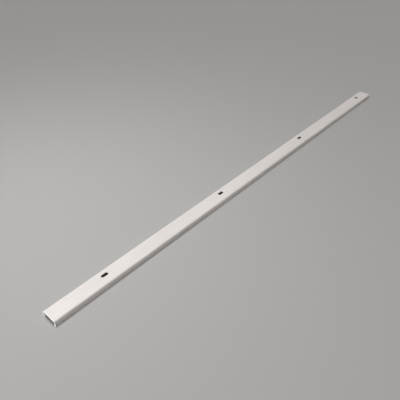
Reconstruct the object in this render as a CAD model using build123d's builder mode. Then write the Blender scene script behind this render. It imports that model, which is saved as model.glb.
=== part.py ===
from build123d import *
import os

# Base of a cable trunking: a shallow plastic channel, extruded in one piece, that lies open side down.
# Millimetres. X runs along the length, Y across and Z up. The leg tips stand at Z = 0, and the origin is
# under the middle of the length and width.

# Overall size
length = 1000.0
width = 30.0
height = 10.0

# Section: a web on top and two legs, with one wall thickness all round
wall = 1.5
corner_radius = 3.0
tip_radius = 0.3

# Snap lip inside each leg tip, which holds the edge of a clip-in lid
lip_reach = 1.3
lip_lead_in = 0.5
lip_land = 0.7
lip_undercut = 0.5
lip_radius = 0.25

# Screw slots, punched through the web in one row beside the middle line. The row starts at the -X end and
# goes on at its pitch for as long as a slot keeps the least margin from the other end.
slot_length = 13.0
slot_width = 6.0
slot_pitch = 284.5
slot_offset = 3.2
first_slot = 104.0
least_margin = 20.0
slot_count = 1 + int((length - first_slot - least_margin) // slot_pitch)

# How far a cut runs past the faces that it opens
overrun = 1.0

# Places on the section: half the width, the inside of a leg, and the crest and heights of its lip
half_width = width / 2
leg_inside = half_width - wall
lip_crest = leg_inside - lip_reach
lip_land_top = lip_lead_in + lip_land
lip_top = lip_land_top + lip_undercut

with BuildPart() as trunking_base:
    with BuildSketch(Plane.YZ.offset(-length / 2)) as section:
        # Legs and web: the outside line of the section, thickened inwards by the wall
        with BuildLine():
            outside = FilletPolyline(
                (-half_width, 0),
                (-half_width, height),
                (half_width, height),
                (half_width, 0),
                radius=corner_radius,
            )
            offset(outside, amount=-wall, side=Side.RIGHT)
        make_face()

        # Snap lip: a lead-in slope, a round-edged land and an undercut, on both legs
        with BuildLine():
            nose = FilletPolyline(
                (leg_inside, 0),
                (lip_crest, lip_lead_in),
                (lip_crest, lip_land_top),
                (leg_inside, lip_top),
                radius=lip_radius,
            )
            Line(nose @ 1, nose @ 0)
        lip = make_face()
        mirror(lip, about=Plane.YZ)

        # The outer edge of each leg tip is slightly round
        tips = section.vertices().group_by(Axis.Y)[0].sort_by(Axis.X)
        fillet((tips[0], tips[-1]), radius=tip_radius)
    extrude(amount=length)

    with BuildSketch(Plane.XY.offset(height + overrun)):
        row = [(first_slot - length / 2 + step * slot_pitch, slot_offset) for step in range(slot_count)]
        with Locations(*row):
            SlotOverall(slot_length, slot_width)
    extrude(amount=-(wall + 2 * overrun), mode=Mode.SUBTRACT)

trunking_base.part.label = "trunking_base"

os.makedirs("parts", exist_ok=True)
export_step(trunking_base.part, "parts/trunking_base.step")
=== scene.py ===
import math

import bpy
from mathutils import Matrix, Vector

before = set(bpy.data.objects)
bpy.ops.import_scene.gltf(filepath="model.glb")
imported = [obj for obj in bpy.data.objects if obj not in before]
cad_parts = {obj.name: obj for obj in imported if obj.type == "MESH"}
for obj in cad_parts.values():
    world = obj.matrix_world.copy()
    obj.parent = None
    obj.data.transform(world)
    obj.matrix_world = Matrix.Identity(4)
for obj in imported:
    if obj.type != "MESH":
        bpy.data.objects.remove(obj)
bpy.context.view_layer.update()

# Camera, fitted to the photograph: its turn round Z and its tilt down in degrees, its focal length in pixels
# of the frame, and how far in metres the object's origin lies to its right, above its axis and ahead of it
IMAGE_WIDTH_PX = 400
FOCAL_PX = 441
SENSOR_WIDTH_MM = 36
CAMERA_TURN = 47.91
CAMERA_TILT = 38.51
ORIGIN_RIGHT = 0.1174
ORIGIN_ABOVE = 0.0559
ORIGIN_AHEAD = 0.930

# Floor: flat out to its radius, then rounded up into a wall all round
FLOOR_RADIUS = 4.0
FLOOR_DROP = 0.0002
WALL_BEND_RADIUS = 1.5
WALL_HEIGHT = 3.4
FLOOR_SECTORS = 96
BEND_STEPS = 16
FLOOR_COLOUR = (0.48, 0.47, 0.46, 1)
# Painted light on the wall: a paler colour that makes it look lit where little light reaches it
WALL_PAINTED_LIGHT_COLOUR = (0.88, 0.87, 0.86, 1)
FLOOR_ROUGHNESS = 0.9

# Lights, each with its place, the place it shines on, its size, its spread in degrees and its power: a soft
# key light over the near end, a wide even one overhead, and a low one that faces the near end and lights the
# trunking alone; then the light all round
KEY = ((-0.42, 0.3, 0.8), (-0.5, 0, 0), 0.25, 180, 2.7)
OVERHEAD = ((0, 0, 4.2), (0, 0, 0), 12.0, 75, 180)
LOW = ((-2.4, 0.3, 0.12), (-0.5, 0, 0), 0.2, 180, 50)
SKY_COLOUR = (1, 0.98, 0.97, 1)
SKY_STRENGTH = 0.05

# Edges: how near two corners of the mesh are when they are one, the angle under which faces are one flat, and
# the width, the steps and the least angle of the break on the sharp edges that sawing and punching leave
WELD_DISTANCE = 1e-6
FLAT_ANGLE = 0.002
EDGE_BREAK = 0.00015
EDGE_STEPS = 2
SHARP_ANGLE = 0.6

# White PVC: its colour, that of its duller patches and of scuffs, and the gloss of the extruded skin
PVC_COLOUR = (0.84, 0.79, 0.765, 1)
DULL_COLOUR = (0.79, 0.742, 0.715, 1)
SCUFF_COLOUR = (0.62, 0.58, 0.555, 1)
PVC_IOR = 1.53
SKIN_ROUGHNESS = 0.36

# Marks on the PVC, each with how many there are in a metre along X, Y and Z, and its steps of finer detail
DIE_LINES = ((4, 1400, 1400), 3)
RIPPLES = ((70, 14, 14), 0)
GRAIN = ((7000, 9000, 9000), 0)
PATCHES = ((9, 45, 45), 2)
SCUFFS = ((75, 3000, 3000), 0)
SAW_LINES = ((2000, 150, 3000), 2)
SHEAR_LINES = ((2600, 2600, 260), 1)

# Depths of those marks in metres
DIE_LINE_DEPTH = 2.2e-5
RIPPLE_DEPTH = 2.5e-5
GRAIN_DEPTH = 1.5e-6
SCUFF_DEPTH = -3e-6
SAW_DEPTH = 4e-5
SHEAR_DEPTH = 1.5e-5

# How much each mark adds to the roughness
DIE_LINE_DULLING = 0.10
PATCH_DULLING = 0.08
SCUFF_DULLING = 0.16
CUT_DULLING = 0.22
HANDLED_GLOSS = -0.07

# Scuffs: their angles to the length in radians, the spans over which they come in, by how far a face faces
# up, by their own noise and by the patches they keep to, and the most that they take of their own colour
SCUFF_TURNS = (0.04, -0.2)
SCUFF_FACING = (0.6, 0.9)
SCUFF_SHOWS = (0.735, 0.80)
SCUFF_AREAS = (0.5, 0.8)
SCUFF_SHARE = 0.45

# The noise of the marks lies mostly between these values
NOISE_SPAN = (0.3, 0.7)

# The counts and depths of the marks are real ones, so noise and relief keep their full scale
FULL_SCALE = 1

# Cut faces: an end faces along X by more than this share, and a slot wall faces up by less than this share
# and lies no further than this from the middle line
END_FACING_SHARE = 0.7
WALL_FACING_SHARE = 0.5
SLOT_ZONE = 0.010


def make_camera():
    """A camera at the photograph's viewing angle."""
    turn = math.radians(CAMERA_TURN)
    tilt = math.radians(CAMERA_TILT)
    right = Vector((math.cos(turn), -math.sin(turn), 0))
    ahead = Vector((math.sin(turn) * math.cos(tilt), math.cos(turn) * math.cos(tilt), -math.sin(tilt)))
    above = right.cross(ahead)
    data = bpy.data.cameras.new("camera")
    data.sensor_width = SENSOR_WIDTH_MM
    data.lens = SENSOR_WIDTH_MM * FOCAL_PX / IMAGE_WIDTH_PX
    camera = bpy.data.objects.new("camera", data)
    bpy.context.scene.collection.objects.link(camera)
    axes = Matrix((right, above, -ahead)).transposed()
    place = -ORIGIN_RIGHT * right - ORIGIN_ABOVE * above - ORIGIN_AHEAD * ahead
    camera.matrix_world = Matrix.Translation(place) @ axes.to_4x4()
    bpy.context.scene.camera = camera


def make_floor():
    """A plain pale floor under the leg tips, rounded up into a wall with painted light, paler with height."""
    profile = [(FLOOR_RADIUS, -FLOOR_DROP)]
    for step in range(1, BEND_STEPS + 1):
        angle = math.pi / 2 * step / BEND_STEPS
        outward = FLOOR_RADIUS + WALL_BEND_RADIUS * math.sin(angle)
        profile.append((outward, WALL_BEND_RADIUS * (1 - math.cos(angle)) - FLOOR_DROP))
    profile.append((FLOOR_RADIUS + WALL_BEND_RADIUS, WALL_HEIGHT))
    points = []
    for radius, level in profile:
        for sector in range(FLOOR_SECTORS):
            angle = 2 * math.pi * sector / FLOOR_SECTORS
            points.append((radius * math.cos(angle), radius * math.sin(angle), level))
    faces = [tuple(range(FLOOR_SECTORS))]
    for ring in range(len(profile) - 1):
        for sector in range(FLOOR_SECTORS):
            here = ring * FLOOR_SECTORS + sector
            beside = ring * FLOOR_SECTORS + (sector + 1) % FLOOR_SECTORS
            faces.append((beside, here, here + FLOOR_SECTORS, beside + FLOOR_SECTORS))
    mesh = bpy.data.meshes.new("floor")
    mesh.from_pydata(points, [], faces)
    mesh.shade_smooth()
    floor = bpy.data.objects.new("floor", mesh)
    bpy.context.scene.collection.objects.link(floor)
    material = bpy.data.materials.new("floor")
    material.use_nodes = True
    tree = material.node_tree
    shader = tree.nodes["Principled BSDF"]
    place = add_node(tree, "TexCoord", {}).outputs["Object"]
    level = add_node(tree, "SeparateXYZ", {"Vector": place}).outputs["Z"]
    # Painted light: the colour grows paler with height, from the floor's to the wall's, standing in for light
    # on the wall
    colour = add_mix(tree, add_range(tree, level, (0, WALL_BEND_RADIUS)), FLOOR_COLOUR, WALL_PAINTED_LIGHT_COLOUR)
    tree.links.new(colour, shader.inputs["Base Color"])
    shader.inputs["Roughness"].default_value = FLOOR_ROUGHNESS
    mesh.materials.append(material)


def make_light(name, place, target, size, spread, power):
    """A soft round light that faces the target."""
    data = bpy.data.lights.new(name, "AREA")
    data.shape = "DISK"
    data.size = size
    data.spread = math.radians(spread)
    data.energy = power
    light = bpy.data.objects.new(name, data)
    bpy.context.scene.collection.objects.link(light)
    light.visible_camera = False
    light.location = place
    light.rotation_mode = "QUATERNION"
    light.rotation_quaternion = (Vector(target) - Vector(place)).to_track_quat("-Z", "Y")
    return light


def light_only(light, piece):
    """Keeps a light off everything but the piece."""
    lit = bpy.data.collections.new("lit")
    lit.objects.link(piece)
    light.light_linking.receiver_collection = lit


def make_sky():
    """A dim even light all round."""
    world = bpy.data.worlds.new("studio")
    world.use_nodes = True
    background = world.node_tree.nodes["Background"]
    background.inputs["Color"].default_value = SKY_COLOUR
    background.inputs["Strength"].default_value = SKY_STRENGTH
    bpy.context.scene.world = world


def put(tree, value, socket):
    """Links a socket to the input, or sets a value on it."""
    if isinstance(value, bpy.types.NodeSocket):
        tree.links.new(value, socket)
    else:
        socket.default_value = value


def add_node(tree, kind, inputs, **settings):
    """Adds a shader node with its settings and inputs."""
    node = tree.nodes.new("ShaderNode" + kind)
    for name, value in settings.items():
        setattr(node, name, value)
    for name, value in inputs.items():
        put(tree, value, node.inputs[name])
    return node


def add_math(tree, operation, *values):
    """The result of a sum on sockets and numbers."""
    return add_node(tree, "Math", dict(enumerate(values)), operation=operation).outputs["Value"]


def add_total(tree, values):
    """All the values added up."""
    total = values[0]
    for value in values[1:]:
        total = add_math(tree, "ADD", total, value)
    return total


def add_noise(tree, position, marks, detail):
    """Noise with that many marks in a metre along each axis."""
    scaled = add_node(tree, "VectorMath", {0: position, 1: marks}, operation="MULTIPLY")
    inputs = {"Vector": scaled.outputs["Vector"], "Scale": FULL_SCALE, "Detail": detail}
    return add_node(tree, "TexNoise", inputs).outputs["Fac"]


def add_range(tree, value, span):
    """The value as a share of the span, from 0 to 1."""
    low, high = span
    inputs = {"Value": value, "From Min": low, "From Max": high}
    return add_node(tree, "MapRange", inputs, interpolation_type="SMOOTHSTEP").outputs["Result"]


def add_mix(tree, share, first, second):
    """A colour between two, by the share of the second."""
    mix = add_node(tree, "Mix", {}, data_type="RGBA")
    sockets = {socket.identifier: socket for socket in mix.inputs}
    put(tree, share, sockets["Factor_Float"])
    put(tree, first, sockets["A_Color"])
    put(tree, second, sockets["B_Color"])
    return next(socket for socket in mix.outputs if socket.identifier == "Result_Color")


def make_pvc():
    """White rigid PVC, as extruded, sawn and punched: faint die lines along the length, shallow ripples, fine
    grain, duller patches, a few scuffs, rough cut faces, and long edges that handling has polished."""
    material = bpy.data.materials.new("white_pvc")
    material.use_nodes = True
    tree = material.node_tree
    shader = tree.nodes["Principled BSDF"]
    coordinates = add_node(tree, "TexCoord", {})
    position = coordinates.outputs["Object"]
    place = add_node(tree, "SeparateXYZ", {"Vector": position}).outputs
    facing = add_node(tree, "SeparateXYZ", {"Vector": coordinates.outputs["Normal"]}).outputs

    # Where the sawn ends, the punched slot walls and the handled long edges are
    end = add_math(tree, "GREATER_THAN", add_math(tree, "ABSOLUTE", facing["X"]), END_FACING_SHARE)
    upright = add_math(tree, "LESS_THAN", add_math(tree, "ABSOLUTE", facing["Z"]), WALL_FACING_SHARE)
    inward = add_math(tree, "LESS_THAN", add_math(tree, "ABSOLUTE", place["Y"]), SLOT_ZONE)
    slot_wall = add_math(tree, "MULTIPLY", upright, inward)
    cut = add_math(tree, "MAXIMUM", end, slot_wall)
    outward = add_math(tree, "ABSOLUTE", facing["Y"])
    handled = add_math(tree, "MULTIPLY", outward, add_math(tree, "MAXIMUM", facing["Z"], 0))

    # The marks
    die_lines = add_range(tree, add_noise(tree, position, *DIE_LINES), NOISE_SPAN)
    ripples = add_range(tree, add_noise(tree, position, *RIPPLES), NOISE_SPAN)
    grain = add_noise(tree, position, *GRAIN)
    patches = add_range(tree, add_noise(tree, position, *PATCHES), NOISE_SPAN)
    scuff_sets = []
    for turn in SCUFF_TURNS:
        turned = add_node(tree, "VectorRotate", {"Vector": position, "Angle": turn}, rotation_type="Z_AXIS")
        scuff_sets.append(add_range(tree, add_noise(tree, turned.outputs["Vector"], *SCUFFS), SCUFF_SHOWS))
    scuff_areas = add_range(tree, patches, SCUFF_AREAS)
    scuff_areas = add_math(tree, "MULTIPLY", scuff_areas, add_range(tree, facing["Z"], SCUFF_FACING))
    scuffs = add_math(tree, "MULTIPLY", add_math(tree, "MAXIMUM", *scuff_sets), scuff_areas)
    saw_lines = add_noise(tree, position, *SAW_LINES)
    shear_lines = add_noise(tree, position, *SHEAR_LINES)

    # Colour, gloss and relief
    colour = add_mix(tree, patches, PVC_COLOUR, DULL_COLOUR)
    colour = add_mix(tree, add_math(tree, "MULTIPLY", scuffs, SCUFF_SHARE), colour, SCUFF_COLOUR)
    tree.links.new(colour, shader.inputs["Base Color"])
    roughness = add_total(tree, [
        add_math(tree, "MULTIPLY_ADD", die_lines, DIE_LINE_DULLING, SKIN_ROUGHNESS),
        add_math(tree, "MULTIPLY", patches, PATCH_DULLING),
        add_math(tree, "MULTIPLY", scuffs, SCUFF_DULLING),
        add_math(tree, "MULTIPLY", cut, CUT_DULLING),
        add_math(tree, "MULTIPLY", handled, HANDLED_GLOSS),
    ])
    tree.links.new(roughness, shader.inputs["Roughness"])
    height = add_total(tree, [
        add_math(tree, "MULTIPLY", die_lines, DIE_LINE_DEPTH),
        add_math(tree, "MULTIPLY", ripples, RIPPLE_DEPTH),
        add_math(tree, "MULTIPLY", grain, GRAIN_DEPTH),
        add_math(tree, "MULTIPLY", scuffs, SCUFF_DEPTH),
        add_math(tree, "MULTIPLY", add_math(tree, "MULTIPLY", end, saw_lines), SAW_DEPTH),
        add_math(tree, "MULTIPLY", add_math(tree, "MULTIPLY", slot_wall, shear_lines), SHEAR_DEPTH),
    ])
    relief = add_node(tree, "Bump", {"Height": height, "Distance": FULL_SCALE, "Strength": FULL_SCALE})
    tree.links.new(relief.outputs["Normal"], shader.inputs["Normal"])
    shader.inputs["IOR"].default_value = PVC_IOR
    return material


def break_edges(piece):
    """Joins the mesh's faces into flats and breaks its sharp edges."""
    weld = piece.modifiers.new("weld", "WELD")
    weld.merge_threshold = WELD_DISTANCE
    flats = piece.modifiers.new("flats", "DECIMATE")
    flats.decimate_type = "DISSOLVE"
    flats.angle_limit = FLAT_ANGLE
    edges = piece.modifiers.new("edges", "BEVEL")
    edges.width = EDGE_BREAK
    edges.segments = EDGE_STEPS
    edges.limit_method = "ANGLE"
    edges.angle_limit = SHARP_ANGLE
    edges.use_clamp_overlap = False
    piece.modifiers.new("shading", "WEIGHTED_NORMAL")


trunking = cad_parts["trunking_base"]
make_camera()
make_floor()
make_light("key", *KEY)
make_light("overhead", *OVERHEAD)
light_only(make_light("low", *LOW), trunking)
make_sky()

trunking.data.materials.clear()
trunking.data.materials.append(make_pvc())
break_edges(trunking)

bpy.context.scene.view_settings.view_transform = "Standard"

# Maps baked from the material carry their colours on past their edges, so that no edge becomes a dark line
bpy.context.scene.render.bake.margin_type = "EXTEND"
